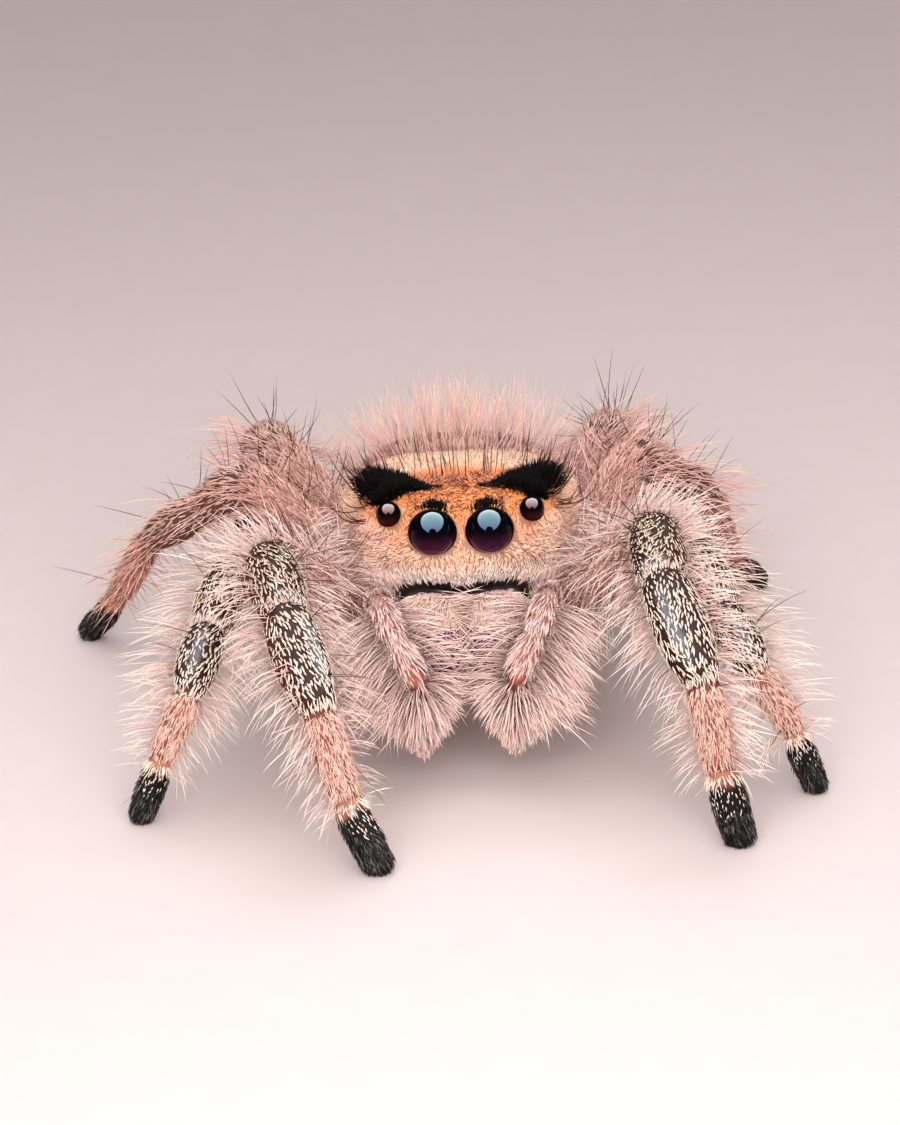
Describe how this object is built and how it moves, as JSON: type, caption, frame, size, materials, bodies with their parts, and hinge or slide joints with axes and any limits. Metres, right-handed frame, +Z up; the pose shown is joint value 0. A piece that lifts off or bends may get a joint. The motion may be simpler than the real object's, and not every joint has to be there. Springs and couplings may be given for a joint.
{
  "type": "jumping spider",
  "caption": "Still, life-size jumping spider standing on its feet, with a furry body, paired front eyes, palps and bent legs.",
  "frame": {"origin": "middle of the footprint's box, on the floor that all eight feet stand on", "axes": "+Z up, -Y the way the spider faces, +X to the spider's own left"},
  "size_m": [0.0154, 0.0208, 0.0064],
  "materials": {
    "orange_fur": "short dense orange fur over the face and back",
    "cream_fur": "cream and pale pink hair with darker grey-brown marks",
    "mottled_scale": "flat cream scales over near-black skin",
    "salmon_fur": "cream scales over salmon skin",
    "black_foot": "short black brush with a grey sheen",
    "black_lens": "clear gloss over black",
    "violet_shell": "iridescent violet shell"
  },
  "bodies": {
    "root": {"abdomen": "cream_fur", "carapace": "orange_fur", "eye_front_middle_left": "black_lens", "eye_front_middle_right": "black_lens", "eye_front_side_left": "black_lens", "eye_front_side_right": "black_lens", "eye_rear_side_left": "black_lens", "eye_rear_side_right": "black_lens", "eye_small_middle_left": "black_lens", "eye_small_middle_right": "black_lens", "jaw_left": "violet_shell", "jaw_right": "violet_shell", "leg_left_1_femur": "mottled_scale", "leg_left_1_metatarsus": "salmon_fur", "leg_left_1_patella": "mottled_scale", "leg_left_1_tarsus": "black_foot", "leg_left_1_tibia": "mottled_scale", "leg_left_2_femur": "mottled_scale", "leg_left_2_metatarsus": "salmon_fur", "leg_left_2_patella": "mottled_scale", "leg_left_2_tarsus": "black_foot", "leg_left_2_tibia": "mottled_scale", "leg_left_3_femur": "mottled_scale", "leg_left_3_metatarsus": "salmon_fur", "leg_left_3_patella": "mottled_scale", "leg_left_3_tarsus": "black_foot", "leg_left_3_tibia": "mottled_scale", "leg_left_4_femur": "mottled_scale", "leg_left_4_metatarsus": "salmon_fur", "leg_left_4_patella": "mottled_scale", "leg_left_4_tarsus": "black_foot", "leg_left_4_tibia": "mottled_scale", "leg_right_1_femur": "mottled_scale", "leg_right_1_metatarsus": "salmon_fur", "leg_right_1_patella": "mottled_scale", "leg_right_1_tarsus": "black_foot", "leg_right_1_tibia": "mottled_scale", "leg_right_2_femur": "mottled_scale", "leg_right_2_metatarsus": "salmon_fur", "leg_right_2_patella": "mottled_scale", "leg_right_2_tarsus": "black_foot", "leg_right_2_tibia": "mottled_scale", "leg_right_3_femur": "mottled_scale", "leg_right_3_metatarsus": "salmon_fur", "leg_right_3_patella": "mottled_scale", "leg_right_3_tarsus": "black_foot", "leg_right_3_tibia": "mottled_scale", "leg_right_4_femur": "mottled_scale", "leg_right_4_metatarsus": "salmon_fur", "leg_right_4_patella": "mottled_scale", "leg_right_4_tarsus": "black_foot", "leg_right_4_tibia": "mottled_scale", "mouthparts": "salmon_fur", "palp_left_arm": "salmon_fur", "palp_left_tip": "cream_fur", "palp_right_arm": "salmon_fur", "palp_right_tip": "cream_fur", "pedicel": "cream_fur", "spinnerets": "mottled_scale", "sternum": "cream_fur"}
  },
  "joints": []
}
